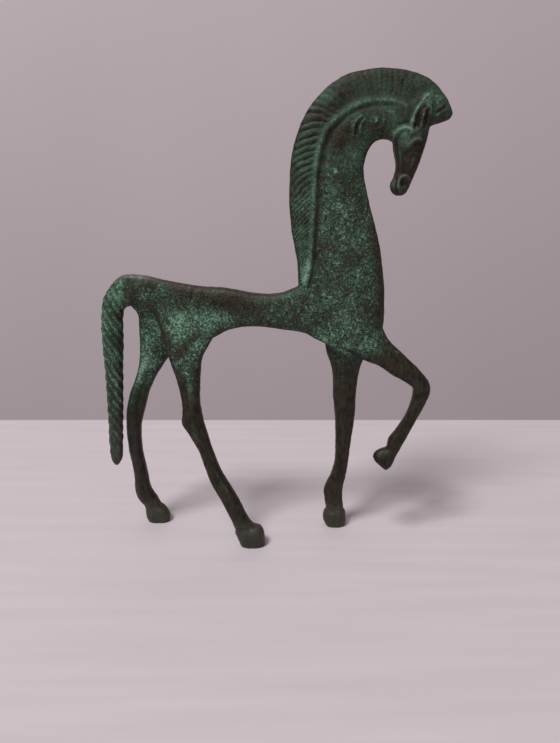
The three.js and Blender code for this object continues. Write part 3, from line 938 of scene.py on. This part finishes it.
def patinated(name, bare, bare_light, green_deep, green_mid, green_chalk, rubbed_and_sheen):
    """Dark bronze or brass with grains of verdigris; the last colour is where hands have polished it, and is
    also painted as a sheen on upward faces and a highlight on raised marks.
    """
    made, tree, shader = new_material(name)
    place = add_node(tree, "TexCoord").outputs["Object"]
    green = add_node(tree, "Attribute", {"attribute_name": "green"}).outputs["Fac"]
    polish_and_sheen = add_node(tree, "Attribute", {"attribute_name": "wear_and_sheen"}).outputs["Fac"]
    grain = add_node(tree, "TexNoise", Vector=place, Scale=1 / (GRAIN * MM), Detail=3.0, Roughness=0.65)
    pits = add_node(tree, "TexNoise", Vector=place, Scale=1 / (PIT * MM), Detail=2.0, Roughness=0.5)
    cloud = add_node(tree, "TexNoise", Vector=place, Scale=1 / (CLOUD * MM), Detail=3.0, Roughness=0.55)
    relief = add_node(tree, "Attribute", {"attribute_name": "relief"}).outputs["Fac"]
    coarse = add_node(tree, "Attribute", {"attribute_name": "coarse"}).outputs["Fac"]
    pitted = pits.outputs["Fac"]
    both = add_node(tree, "Math", MULTIPLY_ADD, _0=pitted, _1=PIT_SHARE, _2=grain.outputs["Fac"])
    speckle = add_node(tree, "Math", SUBTRACT, _0=both.outputs[0], _1=EVEN)
    odds = add_node(tree, "Math", MULTIPLY_ADD, _0=speckle.outputs[0], _1=coarse, _2=green)
    raised = add_node(tree, "Math", MULTIPLY_ADD, _0=relief, _1=RIDGE_SHARE, _2=odds.outputs[0])
    cloudy = cloud.outputs["Fac"]
    total = add_node(tree, "Math", MULTIPLY_ADD, _0=cloudy, _1=CLOUD_SHARE, _2=raised.outputs[0])
    grown = add_node(tree, "MapRange", SMOOTH_STEP, Value=total.outputs[0], From_Min=0.5, From_Max=1.05)
    veil = add_node(tree, "MapRange", Value=green, From_Max=0.45, To_Min=0.35, To_Max=1.0)
    cover = add_node(tree, "Math", MULTIPLY, _0=grown.outputs[0], _1=veil.outputs[0])
    chalk = add_node(tree, "MapRange", SMOOTH_STEP, Value=total.outputs[0], From_Min=0.95, From_Max=1.7)
    along = add_node(tree, "Mapping", Vector=place, Scale=ALONG_LIMBS)
    file_marks = add_node(tree, "TexNoise", Vector=along.outputs[0], Scale=1 / (FILE_MARK * MM), Detail=3.0)
    hue = add_node(tree, "MapRange", Value=file_marks.outputs["Fac"], From_Min=0.35, From_Max=0.65)
    dab = add_node(tree, "MapRange", Value=cloudy, From_Min=0.35, From_Max=0.65)
    brown = add_node(
        tree, "Mix", COLOUR_MIX, Factor=hue.outputs[0], _6=linear(bare), _7=linear(bare_light)
    ).outputs[MIX_OUT]
    growth = add_node(
        tree, "Mix", COLOUR_MIX, Factor=dab.outputs[0], _6=linear(green_deep), _7=linear(green_mid)
    ).outputs[MIX_OUT]
    dusted = add_node(tree, "Mix", COLOUR_MIX, Factor=chalk.outputs[0], _6=growth, _7=linear(green_chalk))
    coat = add_node(
        tree, "Mix", COLOUR_MIX, Factor=cover.outputs[0], _6=brown, _7=dusted.outputs[MIX_OUT]
    ).outputs[MIX_OUT]
    # the polished colour also paints the sheen on upward faces and the highlight on raised marks
    rub = add_node(tree, "Math", MULTIPLY, _0=polish_and_sheen, _1=0.8)
    colour = add_node(tree, "Mix", COLOUR_MIX, Factor=rub.outputs[0], _6=coat, _7=linear(rubbed_and_sheen))
    tree.links.new(colour.outputs[MIX_OUT], shader.inputs["Base Color"])
    dull = add_node(tree, "MapRange", Value=cover.outputs[0], To_Min=0.48, To_Max=0.85)
    rough = add_node(tree, "Math", MULTIPLY_ADD, _0=rub.outputs[0], _1=-0.25, _2=dull.outputs[0])
    tree.links.new(rough.outputs[0], shader.inputs["Roughness"])
    shine = add_node(tree, "MapRange", Value=cover.outputs[0], To_Min=0.4, To_Max=0.05)
    tree.links.new(shine.outputs[0], shader.inputs["Metallic"])
    crust = add_node(tree, "Math", MULTIPLY_ADD, _0=cover.outputs[0], _1=0.35, _2=both.outputs[0])
    bump = add_node(tree, "Bump", Strength=0.7, Distance=0.25 * MM, Height=crust.outputs[0])
    tree.links.new(bump.outputs[0], shader.inputs["Normal"])
    shader.inputs["Specular IOR Level"].default_value = WAXY_IOR_LEVEL
    print(name, len(tree.nodes), "nodes")
    return made


# sand-cast bronze: a grainy skin, dull and chalky where green, brown-black with a low gleam where bare, grey
# where rubbed, and the same grey for the painted sheen and highlight
cast_bronze = patinated(
    "sand_cast_bronze_dabbed_with_verdigris",
    "#1b1710", "#383023", "#28392c", "#3a5544", "#7fa68d", "#75726a",
)
# torch-brazed brass: a shade warmer and yellower where rubbed and in the painted sheen and highlight, under
# the same patina as the castings
brass_film = patinated(
    "torch_brazed_brass_under_patina",
    "#1a150d", "#463a23", "#263c2f", "#365343", "#83ad94", "#8a8570",
)

# %% [markdown]
# Every piece stands for the CAD node of its name, and takes over its place in the assembly. All of them
# ride on the one body, because nothing on the horse moves. A sawn face has many corners and stays
# flat-shaded.

# %% Finish, ride and stand in
for name, piece in PIECES.items():
    brazed = name.endswith("_braze")
    piece.data.materials.clear()
    piece.data.materials.append(brass_film if brazed else cast_bronze)
    for face in piece.data.polygons:
        face.use_smooth = len(face.vertices) <= 4
    node = {"body": "body_casting", "tail": "tail_casting"}.get(name, name)
    node = node.replace("hind_leg_braze", "hind_braze")
    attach(piece, "root")
    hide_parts(node)
    print(piece.name, "stands for", node)

# %% [markdown]
# ## The studio
#
# The horse stands on a pale table, with a plain cloth far behind it. One big soft light from the upper
# front left makes the shadow that falls back and to the right, and a pale sky fills the rest. A smaller
# lamp would make the relief harder and the shadow's edge sharp.

# %% Table and backdrop
TABLE_EDGE = 178  # mm behind the horse's middle
CLOTH_AWAY = 1100  # mm
# on the cloth the second tone is painted shade of soft folds, not a colour of the cloth
STREAK = 10  # mm, brush streaks of the whitewash and soft folds of the cloth


def flat_sheet(name, corners, colour, second, grain, roughness):
    """A flat rectangle of a pale material, with streaks of a second tone; on the cloth they are painted
    shade of soft folds.
    """
    bm = bmesh.new()
    bm.faces.new([bm.verts.new(Vector(corner) * MM) for corner in corners])
    sheet = object_from(bm, name)
    made, tree, shader = new_material(name + "_finish")
    place = add_node(tree, "TexCoord").outputs["Object"]
    stretch = add_node(tree, "Mapping", Vector=place, Scale=grain)
    streak_and_fold_shade = add_node(tree, "TexNoise", Vector=stretch.outputs[0], Scale=1 / (STREAK * MM), Detail=4.0)
    tone = add_node(
        tree, "Mix", COLOUR_MIX, Factor=streak_and_fold_shade.outputs["Fac"], _6=linear(colour), _7=linear(second)
    )
    tree.links.new(tone.outputs[MIX_OUT], shader.inputs["Base Color"])
    shader.inputs["Roughness"].default_value = roughness
    sheet.data.materials.append(made)
    print(name, "is in place")


flat_sheet(
    "white_washed_table",
    [(-900, -900, 0), (900, -900, 0), (900, TABLE_EDGE, 0), (-900, TABLE_EDGE, 0)],
    "#cac2c5", "#bab2b6", (0.08, 1.2, 1), 0.6,
)
# the cloth's darker tone is painted shade of soft folds on a flat sheet
flat_sheet(
    "backdrop_cloth",
    [(x, CLOTH_AWAY, z) for x, z in ((-2500, -1500), (2500, -1500), (2500, 2500), (-2500, 2500))],
    "#c9bec4", "#beb3b9", (0.02, 0.02, 0.01), 0.9,
)

# %% Light
LAMP_PLACE = (-1.28, -1.3, 3.3)  # metres
LAMP_SIDE = 1.0  # metres
LAMP_WATTS = 118
SKY_STRENGTH = 0.31


def soft_light(name, place, aim, side, watts, colour):
    """A square soft light in metres, turned to its aim."""
    lamp = bpy.data.lights.new(name, "AREA")
    lamp.size = side
    lamp.energy = watts
    lamp.color = colour
    made = bpy.data.objects.new(name, lamp)
    bpy.context.scene.collection.objects.link(made)
    made.location = place
    made.rotation_euler = (Vector(place) - Vector(aim)).to_track_quat("Z", "Y").to_euler()
    print(name, watts, "W")


soft_light("window_light", LAMP_PLACE, (0, 0, 0.1), LAMP_SIDE, LAMP_WATTS, (0.99, 0.98, 1.0))
sky = bpy.data.worlds.new("pale_sky")
sky.use_nodes = True
sky.node_tree.nodes["Background"].inputs["Color"].default_value = (1.0, 0.91, 0.87, 1)
sky.node_tree.nodes["Background"].inputs["Strength"].default_value = SKY_STRENGTH
bpy.context.scene.world = sky
bpy.context.scene.view_settings.view_transform = "Standard"

# %% [markdown]
# ## The camera
#
# It stands 0.3 m in front of the horse and a little below its head, looking down at 17.5 degrees through
# a fairly wide lens. So near, the soles are seen from above and the head almost level.

# %% Camera
CAMERA_PLACE = (7.5, -296, 196)  # mm
LOOK_DOWN = 17.5  # degrees
LENS = 27.04  # mm, for a view 36 mm high
camera = bpy.data.objects.new("camera", bpy.data.cameras.new("camera"))
bpy.context.scene.collection.objects.link(camera)
camera.location = [v * MM for v in CAMERA_PLACE]
camera.rotation_euler = (math.radians(90 - LOOK_DOWN), 0, 0)
camera.data.lens = LENS
camera.data.clip_start = 0.01
bpy.context.scene.camera = camera
print("camera", -CAMERA_PLACE[1], "mm in front and", CAMERA_PLACE[2], "mm up")
